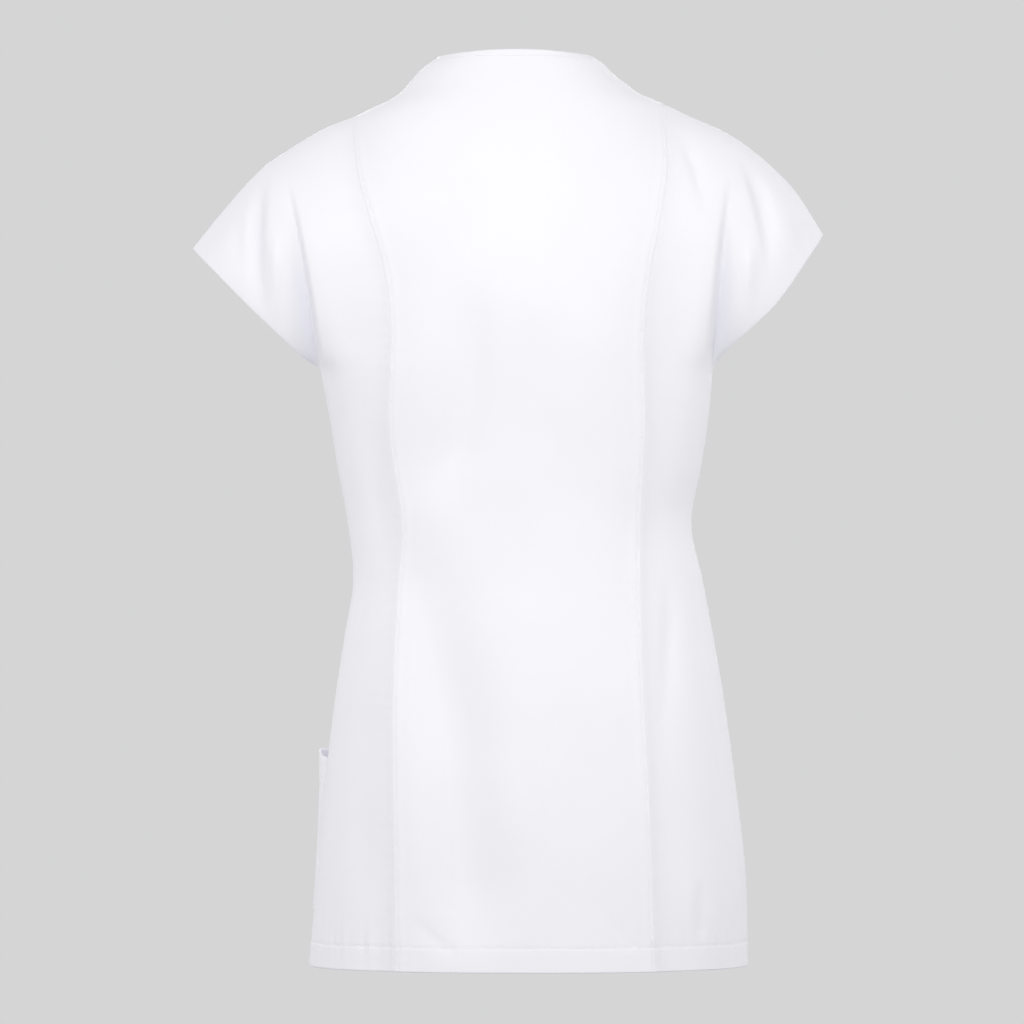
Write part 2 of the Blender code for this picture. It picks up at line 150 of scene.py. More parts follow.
# Folds and creases: face (1 back, -1 front), then start across, start height, end across, end height, bow,
# half width towards the middle, half width away from it, depth, which is negative for a ridge, and the
# shares of its length where its full depth begins and ends
FOLDS = np.array([
    [1, 194, -50, 165.5, -228, -3, 2.2, 12, 27, 1.0, 0.97],
    [1, -177, -50, -161, -228, 2, 2.2, 11, 27, 1.0, 0.97],
    [-1, 194, -50, 165.5, -228, -3, 2.6, 12, 24, 1.0, 0.97],
    [-1, -177, -50, -161, -228, 2, 2.6, 11, 24, 1.0, 0.97],
    [1, 185, -70, 144, -330, -3, 17, 6, -7, 0.54, 0.4],
    [1, -169, -60, -144, -330, 2, 17, 6, -7, 0.54, 0.4],
    [-1, 185, -70, 144, -330, -3, 17, 6, -6, 0.54, 0.4],
    [-1, -169, -60, -144, -330, 2, 17, 6, -6, 0.54, 0.4],
    [1, 208, -44, 209, -186, 6, 4, 10, 7, 0.4, 0.4],
    [1, 200, -98, 198, -186, 2, 5, 6, -3, 0.4, 0.4],
    [1, 231, -78, 229, -150, 2, 5, 8, 2, 0.4, 0.4],
    [1, -184, -40, -208, -150, -6, 4, 10, 7, 0.4, 0.4],
    [1, -193, -104, -193, -184, 2, 5, 6, -3, 0.4, 0.4],
    [1, -132, -22, -155, -98, -4, 4, 9, 3, 0.4, 0.4],
    [1, -231, -88, -244, -130, 2, 4, 6, 2, 0.4, 0.4],
    [1, 90, -330, 37, -716, -8, 32, 24, 16, 0.44, 0.8],
    [1, 44, -125, 72, -345, -18, 17, 26, 8, 0.5, 0.7],
    [1, -22, -170, -26, -300, 4, 26, 16, 2, 0.4, 0.7],
    [1, -36, -470, -28, -640, 4, 14, 30, 2.5, 0.4, 0.7],
    [1, 124, -400, 130, -690, 3, 13, 18, 3.5, 0.4, 0.6],
    [1, -124, -372, -117, -540, -3, 6, 10, 2.5, 0.4, 0.4],
    [1, 118, -252, 110, -392, 3, 8, 12, 2.4, 0.5, 0.5],
    [1, -124, -243, -147, -260, 1, 3, 4, 0.7, 0.5, 0.5],
    [1, -117, -325, -146, -346, 1, 4, 6, 0.8, 0.5, 0.5],
    [1, -152, -636, -151, -690, 1, 5, 8, 1.8, 0.4, 0.8],
    [1, 92, -664, 46, -704, 2, 5, 8, 1.6, 0.5, 0.7],
    [1, -76, -666, -93, -700, 1, 4, 5, 1.2, 0.4, 0.8],
    [-1, 60, -330, 96, -560, -6, 14, 32, 7, 0.5, 0.7],
    [-1, -58, -350, -92, -600, 6, 14, 32, 7, 0.5, 0.7],
    [-1, 206, -48, 207, -162, 5, 4, 10, 6, 0.4, 0.8],
    [-1, -186, -44, -203, -132, -5, 4, 10, 6, 0.4, 0.8],
    [-1, 121, -236, 152, -262, 1, 4, 6, 1.8, 0.4, 0.8],
    [-1, -122, -240, -150, -268, 1, 4, 6, 1.8, 0.4, 0.8],
    [-1, -78, -650, -52, -700, 2, 5, 8, 2, 0.4, 0.8],
])
FOLDS = np.hstack([FOLDS[:, :1], FOLDS[:, 1:9] * MM, FOLDS[:, 9:]])


def curve_through(keys, rows, at):
    """Rows read between their keys: a cubic whose slopes at each key are those of its two neighbours."""
    slopes = np.gradient(rows, keys, axis=0)
    k = np.clip(np.searchsorted(keys, at) - 1, 0, len(keys) - 2)
    step = (keys[k + 1] - keys[k])[:, None]
    f = (np.asarray(at) - keys[k])[:, None] / step
    return (rows[k] * (2 * f**3 - 3 * f**2 + 1) + slopes[k] * step * (f**3 - 2 * f**2 + f)
            + rows[k + 1] * (3 * f**2 - 2 * f**3) + slopes[k + 1] * step * (f**3 - f**2))


def smooth_step(value):
    """0 below 0, 1 above 1, and 3v^2 - 2v^3 between."""
    value = np.clip(value, 0, 1)
    return value * value * (3 - 2 * value)


def bell(away, width):
    """1 in the middle, fading both ways as exp(-(away / width)^2)."""
    return np.exp(-((away / width) ** 2))


def drawn_together(low, high, count, places, width, strength):
    """count + 1 positions from low to high, closer together near each place: even steps of the running sum
    of 1 + strength * exp(-((x - place) / width)^2)."""
    x = np.linspace(low, high, 6000)
    bells = sum((bell(x - place, width) for place in places), np.zeros(len(x)))
    total = np.cumsum(1 + strength * bells)
    total = (total - total[0]) / (total[-1] - total[0])
    return np.interp(np.linspace(0, 1, count + 1), total, x)


def arc_across(angle):
    """Across a rounded section: sign(a) * |sin a|^(2/n), which is 1 at a quarter turn."""
    return np.sign(angle) * np.abs(np.sin(angle)) ** (2 / ROUNDNESS)


def arc_depth(angle):
    """Depth of the same section: (cos a)^(2/n), which is 1 in the middle and 0 at a quarter turn."""
    return np.clip(np.cos(angle), 0, 1) ** (2 / ROUNDNESS)


def angle_of_share(share):
    """The angle at which a rounded section is this share of its full depth."""
    return np.arccos(np.clip(share, 0, 1) ** (ROUNDNESS / 2))


def body_heights():
    """Heights of the level rows from hem to underarm, closer together at the hem's edge and stitching."""
    return drawn_together(HEM, UNDERARM, BODY_ROWS, (HEM, HEM + HEM_DEPTH), 3 * MM, 5)


def sleeve_turn():
    """Angles round the sleeve's opening from underarm to tip, one for each row above the underarm."""
    return np.linspace(0, np.pi, SLEEVE_ROWS + 1)[1:]


def sleeve_rise():
    """How far each of those rows starts between underarm and shoulder: (1 - cos t) / 2."""
    return (1 - np.cos(sleeve_turn())) / 2


def middle_depth(heights, face):
    """How far the middle of the back or the front stands from the seam plane at each height."""
    return curve_through(PROFILE[:, 0], PROFILE[:, 1:], heights)[:, 0 if face > 0 else 1] - SEAM_PLANE


def princess_across(heights, side):
    """How far across the left or the right princess seam lies at each height."""
    return curve_through(PRINCESS[:, 0], PRINCESS[:, 1:], heights)[:, 0 if side > 0 else 1]


def body_section(heights, face):
    """Middle, half width and depth of the body's rounded section at each height."""
    sides = curve_through(SIDES[:, 0], SIDES[:, 1:], heights)
    return (sides[:, 0] + sides[:, 1]) / 2, (sides[:, 0] - sides[:, 1]) / 2, middle_depth(heights, face)


def seam_share(side, heights):
    """The princess seam's depth on the section as a share of the whole: (1 - |x/half|^n)^(1/n)."""
    middle, half, _ = body_section(heights, 1)
    seam = princess_across(heights, side)
    return (1 - (np.abs(seam - middle) / half) ** ROUNDNESS) ** (1 / ROUNDNESS)


def princess_above(side, face):
    """A princess seam above the underarm: its depth is a share of the middle's, rounded over to the seam
    plane at the shoulder like a quarter of the section's curve."""
    top = SHOULDER_LEFT if side > 0 else SHOULDER_RIGHT
    heights = UNDERARM + (top - UNDERARM) * sleeve_rise()
    below = np.clip((top - heights) / SHOULDER_ROUND, 0, 1)
    turned = (1 - (1 - below) ** ROUNDNESS) ** (1 / ROUNDNESS)
    depth = middle_depth(heights, face) * seam_share(side, np.array([UNDERARM])) * turned
    return np.stack([princess_across(heights, side), SEAM_PLANE + depth, heights], 1)


def centre_half(side, face, shares=None, places=None):
    """One half of a centre panel as a grid, from its middle to its princess seam, at shares of the angle
    between them or at places that far across. Each row is a stretch of a rounded section, so its depth is
    arc_depth of the angle, and it also rises or falls by the square of how far across it is."""
    low = body_heights()
    middle = body_section(low, face)[0]
    high = UNDERARM + (SHOULDER_MIDDLE - UNDERARM) * sleeve_rise()
    seam = princess_above(side, face)
    neck = curve_through(np.linspace(0, 1, len(COLLAR)), COLLAR, np.linspace(0, 1, COLLAR_ROWS + 1)[1:])
    neck_side = neck[:, :2] if side > 0 else neck[:, 2:4]
    middle_x = np.concatenate([middle, np.full(len(high) + len(neck), middle[-1])])
    middle_z = np.concatenate([low, high, neck[:, 4]])
    depth = middle_depth(middle_z, face)
    edge_x = np.concatenate([princess_across(low, side), seam[:, 0], neck_side[:, 0]])
    edge_z = np.concatenate([low, seam[:, 2], neck_side[:, 1]])
    high_share = (seam[:, 1] - SEAM_PLANE) / middle_depth(high, face)
    share = np.concatenate([seam_share(side, low), high_share, np.zeros(len(neck))])
    last = angle_of_share(share)[:, None]
    if places is None:
        angles = last * shares[None, :]
    else:
        reach = places[None, :] / np.abs(edge_x - middle_x)[:, None]
        angles = np.arcsin((reach * arc_across(last)) ** (ROUNDNESS / 2))
    reach = arc_across(angles) / arc_across(last)
    x = middle_x[:, None] + (edge_x - middle_x)[:, None] * reach
    z = middle_z[:, None] + (edge_z - middle_z)[:, None] * reach**2
    y = SEAM_PLANE + depth[:, None] * arc_depth(angles)
    edge = np.stack([edge_x, SEAM_PLANE + depth * share, edge_z], 1)[:, None]
    up = run_up(np.stack([middle_x, SEAM_PLANE + depth, middle_z], 1)[:, None])[:, 0]
    return bend_eased(np.stack([x, y, z], 2), edge, up, SHOULDER_ROW)


def bend_eased(points, edge, up, row):
    """A bend along one row of a grid, eased: each row near it becomes the mean of the rows round it,
    weighted by a bell in their distance up the cloth. The edge stays as it is, and the cloth within
    BEND_CLEAR of it nearly so."""
    weights = bell(up[:, None] - up[None], BEND_SPREAD) * np.gradient(up)[None]
    eased = np.tensordot(weights / weights.sum(1, keepdims=True), points, 1)
    near = bell(up - up[row], BEND_REACH)[:, None]
    from_edge = np.linalg.norm(points - edge, axis=2)
    return points + (eased - points) * (near * smooth_step(from_edge / BEND_CLEAR))[..., None]


def facing(points, out):
    """Unit normals of a grid: the cross product of its differences across and up, turned to face out.
    Points in the garment's upright seam plane get normals in that plane, so that front and back meet."""
    normal = np.cross(np.gradient(points, axis=1), np.gradient(points, axis=0)) * out
    normal[..., 1] *= np.abs(points[..., 1] - SEAM_PLANE) > 0.001 * MM
    return normal / np.maximum(np.linalg.norm(normal, axis=2, keepdims=True), 1e-12)


def run_across(points):
    """Length along each row from its first column."""
    steps = np.linalg.norm(np.diff(points, axis=1), axis=2)
    return np.concatenate([np.zeros((len(points), 1)), np.cumsum(steps, axis=1)], 1)


def run_up(points):
    """Length up each column from the hem."""
    steps = np.linalg.norm(np.diff(points, axis=0), axis=2)
    return np.concatenate([np.zeros((1, points.shape[1])), np.cumsum(steps, axis=0)], 0)


def from_seam_plane(y):
    """0 where front and back meet, rising to 1 at FLANK_REACH from there."""
    return smooth_step(np.abs(y - SEAM_PLANE) / FLANK_REACH)


def fold_depth(points, face):
    """How far the folds press the cloth in, straight towards the other face: along each bowed line a bell
    across it, with its own half width on each side, fading at both ends. A fold whose inner half width is
    under CRISP_FOLD fades outwards as exp(-s) instead. The sum d is held below r, the share FOLD_LIMIT of
    the way to where front and back meet, as d / (1 + (d / r)^3)^(1/3)."""
    x, y, z = points[..., 0], points[..., 1], points[..., 2]
    total = np.zeros(x.shape)
    for which, x0, z0, x1, z1, bow, inner, outer, depth, full_from, full_to in FOLDS:
        if which == face:
            length = np.hypot(x1 - x0, z1 - z0)
            ux, uz = (x1 - x0) / length, (z1 - z0) / length
            along = ((x - x0) * ux + (z - z0) * uz) / length
            across = (x - x0) * uz - (z - z0) * ux - 4 * bow * along * (1 - along) * np.sign(uz)
            away = across * np.sign(uz) * np.sign(x0 + x1)
            width = np.where(away > 0, outer, inner)
            ends = smooth_step(along / full_from) * smooth_step((1 - along) / (1 - full_to))
            power = np.where((away > 0) & (inner < CRISP_FOLD), 1, 2)
            total += depth * np.exp(-np.abs(across / width) ** power) * ends
    room = FOLD_LIMIT * np.abs(y - SEAM_PLANE) + 0.01 * MM
    return total / (1 + np.abs(total / room) ** 3) ** (1 / 3)


# The cloth's slow unevenness: waves a metre across, deep and up, start in radians, height in millimetres
SLOW_WAVES = np.array([
    [3.1, 1.9, 5.2, 0.4, 0.55],
    [-4.6, 2.7, 3.4, 2.1, 0.45],
    [6.8, -3.3, 2.1, 4.0, 0.35],
    [2.2, 5.1, -7.7, 1.3, 0.30],
    [9.4, 2.0, 6.3, 5.2, 0.20],
    [-7.5, 6.1, 11.8, 3.3, 0.14],
])


def slow_waves(points):
    """The sum of six plane waves through space, height * sin(2 pi waves . place + start), so that the cloth
    undulates in step on both sides of a seam. It fades to 0 where front and back meet."""
    turns = points @ SLOW_WAVES[:, :3].T + SLOW_WAVES[:, 3] / (2 * np.pi)
    return (np.sin(2 * np.pi * turns) * SLOW_WAVES[:, 4]).sum(-1) * from_seam_plane(points[..., 1]) * MM


def pucker(height, along, away, reach=9 * MM):
    """Small gathers that sewing draws up: three sines along the seam, 11, 23 and 8.7 mm long, of which the
    first is shifted to and fro by a fourth of 61 mm. They fade from the seam as exp(-away / reach)."""
    turns = 2 * np.pi * along
    wave = np.sin(turns / (11 * MM) + 1.7 * np.sin(turns / (61 * MM))) + 0.7 * np.sin(turns / (23 * MM) + 1)
    return height * (wave + 0.5 * np.sin(turns / (8.7 * MM) + 2)) * np.exp(-away / reach)


def plain_seam(away):
    """A plain seam pressed open: the cloth dips to it as a bell."""
    return -PLAIN_SEAM_GROOVE * bell(away, PLAIN_SEAM_WIDTH)


def topstitched(away, points):
    """The upper side of a topstitched seam: a raised band over the turnings inside it, less a bell where
    the thread draws it down and a bell where its edge is rolled under. It eases into a plain seam from about
    8 mm below the shoulder's row to 4 mm above it."""
    band = SEAM_BAND * (1 - smooth_step((away - SEAM_BAND_WIDTH) / (5 * MM)))
    seam = band - SEAM_THREAD_GROOVE * bell(away - PRINCESS_LINE, STITCH_WIDTH)
    seam -= SEAM_EDGE_GROOVE * bell(away, EDGE_WIDTH)
    up = run_up(points).mean(1)
    above = smooth_step((up - up[SHOULDER_ROW]) / (12 * MM) + 0.7)[:, None]
    return seam * (1 - above) + plain_seam(away) * above


def hem_band(up):
    """A turned-up hem: a band that stands a little proud and fades over its last 3 mm, less a bell at its
    stitching."""
    band = HEM_BAND * (1 - smooth_step((up - HEM_DEPTH + 3 * MM) / (3 * MM)))
    return band - HEM_GROOVE * bell(up - HEM_DEPTH, EDGE_WIDTH)


def collar_edge(down):
    """The collar's upper edge: a bell-shaped groove where it is edge-stitched."""
    return -COLLAR_GROOVE * bell(down - COLLAR_STITCH, MM)


def turned_in(away, depth):
    """1 within a turned-in edge's depth, and 0 beyond it."""
    return 1 - smooth_step((away - depth) / MM)


def into_scene(name, data):
    """A mesh, a light or a camera as an object at the origin, linked to the scene."""
    made = bpy.data.objects.new(name, data)
    bpy.context.scene.collection.objects.link(made)
    return made


def cloth_mesh(name, outer, inner, across, up, out):
    """A closed thin wall: the outer and the inner grid, joined round the rim through a middle line that
    stands LIP_SHARE of the thickness proud, so that every edge is rounded. Its map is in metres of cloth."""
    rows, columns = outer.shape[:2]
    count = rows * columns
    grid = np.arange(count).reshape(rows, columns)
    a, b, c, d = grid[:-1, :-1].ravel(), grid[:-1, 1:].ravel(), grid[1:, 1:].ravel(), grid[1:, :-1].ravel()
    face = np.stack([a, b, c, d], 1)
    rim = np.concatenate([grid[0, :-1], grid[:-1, -1], grid[-1, :0:-1], grid[:0:-1, 0]])
    inside = np.concatenate([grid[1, :-1], grid[:-1, -2], grid[-2, :0:-1], grid[:0:-1, 1]])
    flat_outer, flat_inner = outer.reshape(-1, 3), inner.reshape(-1, 3)
    away = flat_outer[rim] - flat_outer[inside]
    away /= np.maximum(np.linalg.norm(away, axis=1, keepdims=True), 1e-9)
    thick = np.linalg.norm(flat_outer[rim] - flat_inner[rim], axis=1, keepdims=True)
    lip = (flat_outer[rim] + flat_inner[rim]) / 2 + away * thick * LIP_SHARE
    lips = 2 * count + np.arange(len(rim))
    turned = np.roll(rim, -1)
    lips_on = np.roll(lips, -1)
    faces = np.concatenate([
        face, face[:, ::-1] + count,
        np.stack([rim, lips, lips_on, turned], 1),
        np.stack([lips, rim + count, turned + count, lips_on], 1),
    ])
    if out < 0:
        faces = faces[:, ::-1]
    points = np.concatenate([flat_outer, flat_inner, lip])
    mesh = bpy.data.meshes.new(name)
    mesh.vertices.add(len(points))
    mesh.vertices.foreach_set("co", points.ravel())
    mesh.loops.add(faces.size)
    mesh.loops.foreach_set("vertex_index", faces.ravel().astype(np.int32))
    mesh.polygons.add(len(faces))
    mesh.polygons.foreach_set("loop_start", np.arange(0, faces.size, 4, dtype=np.int32))
    mesh.update(calc_edges=True)
    flat_map = np.stack([across.ravel(), up.ravel()], 1)
    places = np.concatenate([flat_map, flat_map, flat_map[rim]])
    mesh.uv_layers.new(name="cloth").data.foreach_set("uv", places[faces.ravel()].ravel())
    mesh.shade_smooth()
    return into_scene(name, mesh)


def linear(code):
    """An sRGB hex colour as linear red, green, blue and 1: c / 12.92 up to 0.04045, then ((c + 0.055) /
    1.055)^2.4."""
    parts = np.array([int(code[k:k + 2], 16) for k in (1, 3, 5)]) / 255
    return (*np.where(parts <= 0.04045, parts / 12.92, ((parts + 0.055) / 1.055) ** 2.4).tolist(), 1)


def blank_material(name):
    """A new material, its node tree and its one shader node."""
    material = bpy.data.materials.new(name)
    material.use_nodes = True
    return material, material.node_tree, material.node_tree.nodes["Principled BSDF"]


def add_node(tree, kind, settings=(), links=()):
    """One node with its settings (a property's name, or an input's name or number) and its input links."""
    node = tree.nodes.new(kind)
    for key, value in dict(settings).items():
        if isinstance(key, str) and hasattr(node, key):
            setattr(node, key, value)
        else:
            node.inputs[key].default_value = value
    for key, socket in dict(links).items():
        tree.links.new(socket, node.inputs[key])
    return node


# A diagonal wave texture at scale 1 repeats every pi / 5 along each axis
DIAGONAL_WAVE = 0.62832
RIB_PITCH = 3.919 * MM


def white_twill():
    """Polyester and cotton work twill, bleached with a blue-violet brightener: matt, with a faint lustre on
    its diagonal rib. The rib is really 0.5 mm apart and is drawn at 3.9 mm, so that it shows at all."""
    material, tree, shader = blank_material("white work twill")
    cloth = add_node(tree, "ShaderNodeUVMap", {"uv_map": "cloth"})
    solid = add_node(tree, "ShaderNodeTexCoord")
    cloudy = add_node(tree, "ShaderNodeTexNoise", {"Scale": 14.0, "Detail": 2.0},
                      {"Vector": solid.outputs["Object"]})
    tone = add_node(tree, "ShaderNodeMix",
                    {"data_type": "RGBA", 6: linear("#F4F4FB"), 7: linear("#F0F0F9")},
                    {0: cloudy.outputs["Fac"]})
    rib = add_node(tree, "ShaderNodeTexWave",
                   {"wave_type": "BANDS", "bands_direction": "DIAGONAL",
                    "Scale": DIAGONAL_WAVE / (RIB_PITCH * 2**0.5),
                    "Distortion": 0.6, "Detail": 1.0, "Detail Scale": 2.0},
                   {"Vector": cloth.outputs["UV"]})
    slub = add_node(tree, "ShaderNodeTexNoise", {"Scale": 900.0, "Detail": 2.0},
                    {"Vector": solid.outputs["Object"]})
    weave = add_node(tree, "ShaderNodeMath", {"operation": "ADD"},
                     {0: rib.outputs["Fac"], 1: slub.outputs["Fac"]})
    relief = add_node(tree, "ShaderNodeBump", {"Strength": 0.12, "Distance": 0.15 * MM},
                      {"Height": weave.outputs["Value"]})
    tree.links.new(tone.outputs[2], shader.inputs["Base Color"])
    tree.links.new(relief.outputs["Normal"], shader.inputs["Normal"])
    shader.inputs["Roughness"].default_value = 0.68
    shader.inputs["Sheen Weight"].default_value = 0.22
    shader.inputs["Sheen Roughness"].default_value = 0.4
    shader.inputs["Specular IOR Level"].default_value = 0.35
    return material


TWILL = white_twill()


def sew(name, node, points, out, relief, turning):
    """Makes one panel: its form moved straight in or out by the folds and the slow waves, then its relief,
    then a wall inside it that is thicker by the share turning where cloth is turned in."""
    face = 1 if points[:, :, 1].mean() > SEAM_PLANE else -1
    pressed = points.copy()
    pressed[..., 1] += face * (slow_waves(points) - fold_depth(points, face))
    outer = pressed + facing(pressed, out) * relief[..., None]
    thick = CLOTH_THICKNESS + (TURNING_THICKNESS - CLOTH_THICKNESS) * turning
    normal = facing(outer, out)
    inner = outer - normal * thick[..., None]
    made = cloth_mesh(name, outer, inner, run_across(points), run_up(points), out)
    made.data.materials.append(TWILL)
    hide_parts(node)
    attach(made, "root")
    return outer, normal


# Columns of a half, drawn together at the stitching and at the seam
EDGE_SHARES = drawn_together(0, 1, BACK_HALF_COLUMNS, (STITCH_SHARE, 1.0), SHARE_SPREAD, 4)
back = np.concatenate([centre_half(-1, 1, EDGE_SHARES)[:, ::-1], centre_half(1, 1, EDGE_SHARES)[:, 1:]], 1)
from_right = run_across(back)
from_left = from_right[:, -1:] - from_right
up = run_up(back)
down = up[-1:] - up
relief = (topstitched(from_right, back) + topstitched(from_left, back) + hem_band(up) + collar_edge(down)
          + pucker(0.10 * MM, back[..., 2], from_right) + pucker(0.10 * MM, back[..., 2] + 0.4, from_left)
          + pucker(0.12 * MM, back[..., 0], np.abs(up - HEM_DEPTH), 8 * MM))
turning = np.maximum(turned_in(up, HEM_DEPTH), turned_in(down, COLLAR_FACING))
centre_back, centre_back_out = sew("centre_back", "back_centre", back, -1, relief, turning)

# Side backs and side fronts
# Two side panels to each half of the body, of the same twill, each with its half of the short cap sleeve
# grown on. They are sewn under the centre panels' edges, and meet in plain side seams and overarm seams.

SIDE_COLUMNS = 84
CUFF_BACK = 46 * MM
CUFF_FRONT = 52 * MM
CUFF_DEPTH = 22 * MM
SEAM_DROP = 3.8 * MM
SEAM_DROP_REACH = 16 * MM
DROP_EASED = 0.3
FOLD_COLUMN = 0.62
FOLD_PACKING = 0.45

# The sleeve hems from underarm to tip, evenly spaced by angle round the opening: across, height
CUFF_LEFT = np.array([
    [164.9, -218.0],
    [181.6, -206.2],
    [220.1, -170.0],
    [257.1, -132.5],
    [271.8, -116.9],
]) * MM
CUFF_RIGHT = np.array([
    [-162.6, -218.0],
    [-176.2, -200.6],
    [-213.7, -165.0],
    [-243.3, -123.2],
    [-255.1, -105.7],
]) * MM

# The overarm seams from the shoulder to the sleeve's tip: across, height
OVERARM_LEFT = np.array([
    [136.4, -7.5],
    [161.2, -17.1],
    [189.1, -33.4],
    [213.8, -50.5],
    [241.7, -80.2],
    [271.8, -116.9],
]) * MM
OVERARM_RIGHT = np.array([
    [-121.1, 3.3],
    [-146.1, -8.5],
    [-173.0, -20.5],
    [-200.4, -39.2],
    [-230.9, -68.5],
    [-255.1, -105.7],
]) * MM


def column_places(even, rise):
    """Places across the fanned rows, drawn together round the armhole fold: e - FOLD_PACKING sin(2 pi (e -
    FOLD_COLUMN)) / 2 pi, shifted by a parabola to where the fold is at that rise."""
    fold = 0.80 - 0.33 * rise**0.7
    packed = even - FOLD_PACKING * np.sin(2 * np.pi * (even - FOLD_COLUMN)) / (2 * np.pi)
    packed = (packed - packed[0]) / (packed[-1] - packed[0])
    blend = smooth_step(rise / 0.15)
    return even * (1 - blend) + (packed + (fold - FOLD_COLUMN) * 4 * packed * (1 - packed)) * blend


def side_panel(side, face):
    """A side panel as a grid from princess seam to side seam. Level rows are stretches of the body's rounded
    section. Above the underarm the rows fan out to the overarm seam: a blend of the four edges, whose
    weights across are 1 - u^3 for the princess seam's edge and u^3 for the sleeve's hem. Beside the princess
    seam the panel falls away by SEAM_DROP (a/w) e^(1 - a/w), w being SEAM_DROP_REACH, and by a share less
    that grows to DROP_EASED over the 60 mm above the underarm."""
    even = drawn_together(0, 1, SIDE_COLUMNS, (0.0, 1.0), 0.02, 4)
    heights = body_heights()
    middle, half, deep = (value[:, None] for value in body_section(heights, face))
    start = angle_of_share(seam_share(side, heights))[:, None]
    angles = side * (start * (1 - even) + np.pi / 2 * even)
    level = np.stack([middle + half * arc_across(angles), SEAM_PLANE + deep * arc_depth(angles),
                      np.broadcast_to(heights[:, None], angles.shape)], 2)
    turn, rise = sleeve_turn(), sleeve_rise()[:, None]
    u = column_places(even, rise)
    cuff_keys, over_keys = (CUFF_LEFT, OVERARM_LEFT) if side > 0 else (CUFF_RIGHT, OVERARM_RIGHT)
    cuff = curve_through(np.linspace(0, np.pi, len(cuff_keys)), cuff_keys, turn)
    puff = (CUFF_BACK if face > 0 else CUFF_FRONT) * face
    edge = np.stack([cuff[:, 0], SEAM_PLANE + puff * np.sin(turn), cuff[:, 1]], 1)[:, None]
    seam = princess_above(side, face)[:, None]
    over = curve_through(np.linspace(0, 1, len(over_keys)), over_keys, u.ravel()).reshape(*u.shape, 2)
    top = np.stack([over[..., 0], np.full(u.shape, SEAM_PLANE), over[..., 1]], 2)
    angles = side * (start[-1] * (1 - u) + np.pi / 2 * u)
    low = np.stack([middle[-1] + half[-1] * arc_across(angles), SEAM_PLANE + deep[-1] * arc_depth(angles),
                    np.full(u.shape, UNDERARM)], 2)
    u, rise = u[..., None], rise[..., None]
    from_seam = seam - (1 - rise) * low[:, :1] - rise * top[:, :1]
    from_cuff = edge - (1 - rise) * low[:, -1:] - rise * top[:, -1:]
    fanned = (1 - rise) * low + rise * top + (1 - u**3) * from_seam + u**3 * from_cuff
    panel = np.concatenate([level, fanned])
    panel = bend_eased(panel, panel[:, -1:], run_up(panel).mean(1), BODY_ROWS)
    away = run_across(panel) / SEAM_DROP_REACH
    drop = SEAM_DROP * (1 - DROP_EASED * smooth_step((panel[..., 2] - UNDERARM) / (60 * MM)))
    panel[..., 1] -= face * drop * away * np.exp(1 - away) * from_seam_plane(panel[..., 1])
    return panel


def sew_side(name, node, side, face, hem_gather):
    """A side panel with its seams, its hem and its sleeve's turned-in edge. The side seam and its gathers
    end at the underarm, and the turned-in edge starts there."""
    points = side_panel(side, face)
    from_princess = run_across(points)
    from_side = from_princess[:, -1:] - from_princess
    up = run_up(points)
    to_overarm = up[-1:] - up
    level = smooth_step((UNDERARM - points[..., 2]) / (25 * MM))
    relief = (plain_seam(from_princess) + level * plain_seam(from_side) + plain_seam(to_overarm)
              + hem_band(up) + pucker(0.14 * MM, points[..., 2] + 0.2, from_princess)
              + level * pucker(0.12 * MM, points[..., 2] + 0.6, from_side)
              + pucker(0.10 * MM, points[..., 0], to_overarm)
              + pucker(hem_gather, from_princess, np.abs(up - HEM_DEPTH), 12 * MM))
    fanned = (np.arange(len(points)) - BODY_ROWS)[:, None] / SLEEVE_ROWS
    cuff = turned_in(from_side, CUFF_DEPTH) * smooth_step(fanned / 0.2)
    turning = np.maximum(turned_in(up, HEM_DEPTH), cuff)
    return (points, *sew(name, node, points, -side * face, relief, turning))


side_back_left = sew_side("side_back_left", "back_side_left", 1, 1, 0.34 * MM)
side_back_right = sew_side("side_back_right", "back_side_right", -1, 1, 0.22 * MM)
side_front_left = sew_side("side_front_left", "front_side_left", 1, -1, 0.26 * MM)
side_front_right = sew_side("side_front_right", "front_side_right", -1, -1, 0.22 * MM)

# Centre fronts
# The two centre fronts with the collar's front grown on, lapped right over left and closed by press studs.
# Each free edge is turned in 30 mm as a facing, and stitched along the fold and along the facing.

FRONT_LAP = 15 * MM
LAP_STEP = 2.1 * MM
LAP_FADE = 16 * MM
LAP_COLUMNS = 16
FRONT_COLUMNS = 62
FACING_DEPTH = 30 * MM
FACING_SHARE = 0.13
EDGE_STITCH = 6 * MM


def centre_front(side):
    """A centre front as a grid from its free edge, past the middle, to its princess seam. The left one steps
    in under the lap by LAP_STEP, easing out over LAP_FADE beyond it."""
    places = np.linspace(FRONT_LAP, 0, LAP_COLUMNS, endpoint=False)
    shares = drawn_together(0, 1, FRONT_COLUMNS, (FACING_SHARE, STITCH_SHARE, 1.0), SHARE_SPREAD, 4)
    grid = np.concatenate([centre_half(-side, -1, places=places), centre_half(side, -1, shares)], 1)
    if side > 0:
        run = grid[..., 0] - grid[:, LAP_COLUMNS:LAP_COLUMNS + 1, 0]
        grid[..., 1] += LAP_STEP * (1 - smooth_step((run - FRONT_LAP - 2 * MM) / LAP_FADE))
    return grid


def groove(away, line):
    """A line of stitching that draws the cloth down by 0.4 mm, as a bell across it."""
    return -0.4 * MM * bell(away - line, STITCH_WIDTH)


